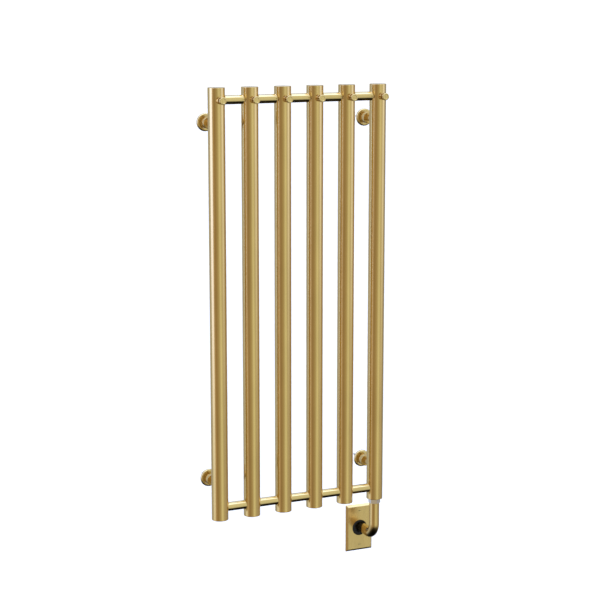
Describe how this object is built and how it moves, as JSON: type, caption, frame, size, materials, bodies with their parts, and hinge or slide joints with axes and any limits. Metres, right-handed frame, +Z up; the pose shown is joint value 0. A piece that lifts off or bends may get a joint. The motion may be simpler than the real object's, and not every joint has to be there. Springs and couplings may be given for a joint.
{
  "type": "towel warmer rack",
  "caption": "Wall-hung electric towel warmer with upright round tubes, short joining bars, turned pegs, wall stand-offs and a bent lead cover into a wall plate.",
  "frame": {"origin": "on the wall's face, at the centre of the four wall fixings", "axes": "+X to the right of a person who faces the rack, +Y into the wall, +Z up along the tubes"},
  "size_m": [0.4389, 0.156, 1.1171],
  "materials": {
    "brushed_brass": "brushed satin, grain along the tube",
    "polished_brass": "fine satin, almost polished",
    "plate_brass": "fine satin sheet",
    "chrome": "bright chrome plate",
    "zinc_steel": "dull zinc plate",
    "dark_steel": "blackened steel",
    "seal": "matt rubber",
    "gland_rubber": "matt rubber",
    "foam": "closed-cell black foam",
    "cutout_case": "moulded"
  },
  "bodies": {
    "wall_side": {"socket_post_upper_left": "brushed_brass", "socket_post_upper_right": "brushed_brass", "socket_post_lower_left": "brushed_brass", "socket_post_lower_right": "brushed_brass", "rosette_upper_left": "polished_brass", "rosette_upper_right": "polished_brass", "rosette_lower_left": "polished_brass", "rosette_lower_right": "polished_brass", "wall_screws": "zinc_steel", "wall_plate": "plate_brass", "plate_gasket": "foam", "plate_screws": "polished_brass"},
    "rack": {"tube_1": "brushed_brass", "tube_2": "brushed_brass", "tube_3": "brushed_brass", "tube_4": "brushed_brass", "tube_5": "brushed_brass", "tube_6": "brushed_brass", "top_caps": "brushed_brass", "bottom_caps": "brushed_brass", "top_bar_1": "polished_brass", "top_bar_2": "polished_brass", "top_bar_3": "polished_brass", "top_bar_4": "polished_brass", "top_bar_5": "polished_brass", "bottom_bar_1": "polished_brass", "bottom_bar_2": "polished_brass", "bottom_bar_3": "polished_brass", "bottom_bar_4": "polished_brass", "bottom_bar_5": "polished_brass", "peg_1": "polished_brass", "peg_2": "polished_brass", "peg_3": "polished_brass", "peg_4": "polished_brass", "peg_5": "polished_brass", "peg_6": "polished_brass", "stud_upper_left": "brushed_brass", "stud_upper_right": "brushed_brass", "stud_lower_left": "brushed_brass", "stud_lower_right": "brushed_brass", "element_boss": "zinc_steel", "element_sheath": "zinc_steel", "element_plug": "chrome", "sealing_ring": "seal", "thermal_cutout": "cutout_case", "lead_gland": "gland_rubber"},
    "cover": {"elbow_cover": "brushed_brass"},
    "cover_lock": {"elbow_grub_screw": "dark_steel"},
    "lock_upper_left": {"grub_screw_upper_left": "dark_steel"},
    "lock_upper_right": {"grub_screw_upper_right": "dark_steel"},
    "lock_lower_left": {"grub_screw_lower_left": "dark_steel"},
    "lock_lower_right": {"grub_screw_lower_right": "dark_steel"}
  },
  "joints": [
    {"name": "wall_distance", "type": "slide", "parent": "wall_side", "child": "rack", "axis": [0, -1, 0], "range_m": [-0.0035, 0.006]},
    {"name": "cover_swivel", "type": "hinge", "parent": "rack", "child": "cover", "pos_m": [0.195, -0.07, -0.4955], "axis": [0, 0, 1], "range_deg": [-0.2, 2.5]},
    {"name": "cover_lock_travel", "type": "slide", "parent": "cover", "child": "cover_lock", "axis": [0, 1, 0], "range_m": [0, 0.001]},
    {"name": "lock_travel_upper_left", "type": "slide", "parent": "wall_side", "child": "lock_upper_left", "axis": [0, 0, -1], "range_m": [0, 0.002]},
    {"name": "lock_travel_upper_right", "type": "slide", "parent": "wall_side", "child": "lock_upper_right", "axis": [0, 0, -1], "range_m": [0, 0.002]},
    {"name": "lock_travel_lower_left", "type": "slide", "parent": "wall_side", "child": "lock_lower_left", "axis": [0, 0, -1], "range_m": [0, 0.002]},
    {"name": "lock_travel_lower_right", "type": "slide", "parent": "wall_side", "child": "lock_lower_right", "axis": [0, 0, -1], "range_m": [0, 0.002]}
  ]
}
